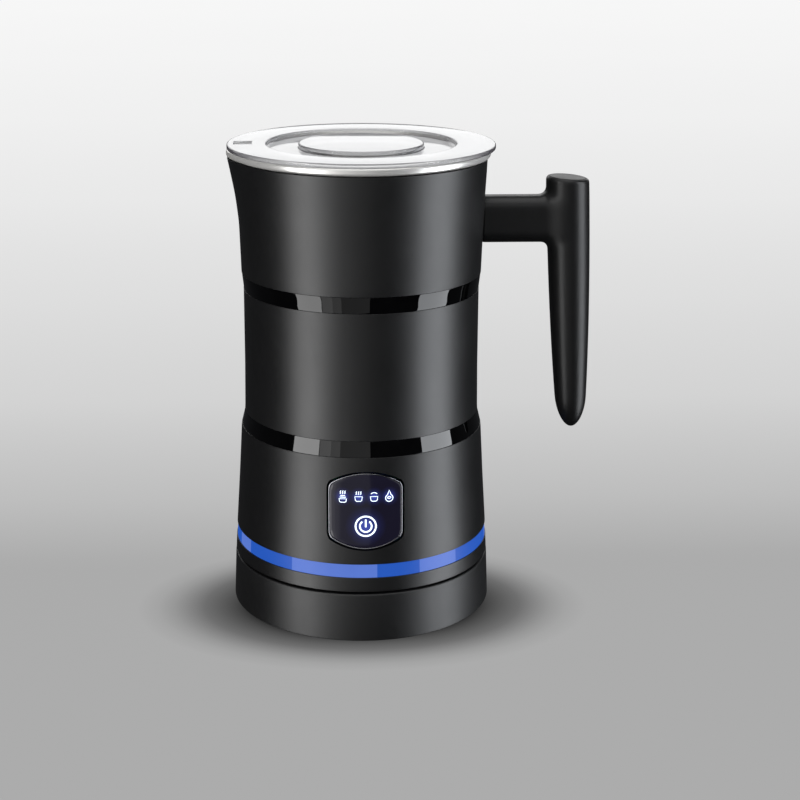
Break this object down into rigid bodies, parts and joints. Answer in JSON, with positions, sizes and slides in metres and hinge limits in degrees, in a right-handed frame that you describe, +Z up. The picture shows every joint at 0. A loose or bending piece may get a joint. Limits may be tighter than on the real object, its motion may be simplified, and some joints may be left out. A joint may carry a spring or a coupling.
{
  "type": "milk frother",
  "caption": "Jug-type electric milk frother with a clear lid, pouring spout, T-shaped handle, touch panel, magnetic whisk with froth coil and a separate round power base",
  "frame": {"origin": "middle of the footprint's bounding box on the surface that the feet stand on; the jug's axis is 20.2 mm towards -X of it", "axes": "+Z up along the jug's axis, +X from the jug towards the handle, -Y out of the touch panel"},
  "size_m": [0.1524, 0.112, 0.1992],
  "materials": {
    "satin_black": "satin black coated steel with broad soft highlights",
    "gloss_black": "mirror gloss black plastic",
    "matte_black": "fine matte black moulded plastic",
    "clear_plastic": "clear polished plastic",
    "seal_silicone": "translucent white silicone",
    "bright_steel": "bright stainless steel",
    "blue_light": "translucent light pipe glowing blue",
    "foot_rubber": "black rubber",
    "contact_brass": "plain brass",
    "aluminium": "plain aluminium",
    "circuit_board": "green lacquered circuit board",
    "white_plastic": "natural white heat-proof plastic"
  },
  "bodies": {
    "power_base": {"base_shell": "satin_black", "base_floor": "matte_black", "base_socket": "matte_black", "base_contact": "contact_brass", "base_foot_1": "foot_rubber", "base_foot_2": "foot_rubber", "base_foot_3": "foot_rubber", "base_foot_4": "foot_rubber", "base_screw_1": "bright_steel", "base_screw_2": "bright_steel", "base_screw_3": "bright_steel", "cord_gland": "foot_rubber"},
    "jug": {"jug_bottom": "matte_black", "jug_connector": "matte_black", "contact_pin": "contact_brass", "jug_skirt": "satin_black", "light_ring": "blue_light", "light_board": "circuit_board", "lower_housing": "satin_black", "panel_bezel": "bright_steel", "panel_lens": "gloss_black", "touch_board": "circuit_board", "lower_band": "gloss_black", "waist_sleeve": "satin_black", "upper_band": "gloss_black", "upper_shell": "satin_black", "inner_pot": "bright_steel", "whisk_post": "bright_steel", "handle": "matte_black", "handle_cap": "matte_black", "handle_bracket": "bright_steel", "handle_screw_1": "bright_steel", "handle_screw_2": "bright_steel", "chassis": "white_plastic", "main_board": "circuit_board", "relay": "white_plastic", "capacitor": "aluminium", "heater_plate": "aluminium", "thermostat": "aluminium", "temperature_sensor": "contact_brass", "motor": "bright_steel", "jug_screw_1": "bright_steel", "jug_screw_2": "bright_steel", "jug_screw_3": "bright_steel"},
    "lid": {"lid_disc": "clear_plastic", "lid_collar": "clear_plastic", "lid_seal": "seal_silicone"},
    "rotor": {"motor_shaft": "bright_steel", "magnet_carrier": "white_plastic", "drive_magnet_1": "bright_steel", "drive_magnet_2": "bright_steel"},
    "whisk": {"whisk_hub": "matte_black", "whisk_knob": "matte_black", "whisk_magnet_1": "bright_steel", "whisk_magnet_2": "bright_steel", "stirring_ring": "bright_steel"},
    "coil": {"froth_coil": "bright_steel"}
  },
  "joints": [
    {"name": "jug_lift", "type": "slide", "parent": "power_base", "child": "jug", "axis": [0, 0, 1], "range_m": [0, 0.05]},
    {"name": "lid_lift", "type": "slide", "parent": "jug", "child": "lid", "axis": [0, 0, 1], "range_m": [0, 0.045]},
    {"name": "rotor_spin", "type": "hinge", "parent": "jug", "child": "rotor", "pos_m": [-0.0202, 0, 0.083], "axis": [0, 0, 1], "continuous": true},
    {"name": "whisk_spin", "type": "hinge", "parent": "jug", "child": "whisk", "pos_m": [-0.0202, 0, 0.097], "axis": [0, 0, 1], "continuous": true},
    {"name": "coil_lift", "type": "slide", "parent": "whisk", "child": "coil", "axis": [0, 0, 1], "range_m": [0, 0.06]}
  ],
  "couplings": [
    {"joint": "rotor_spin", "follows": "whisk_spin", "ratio": 1}
  ]
}
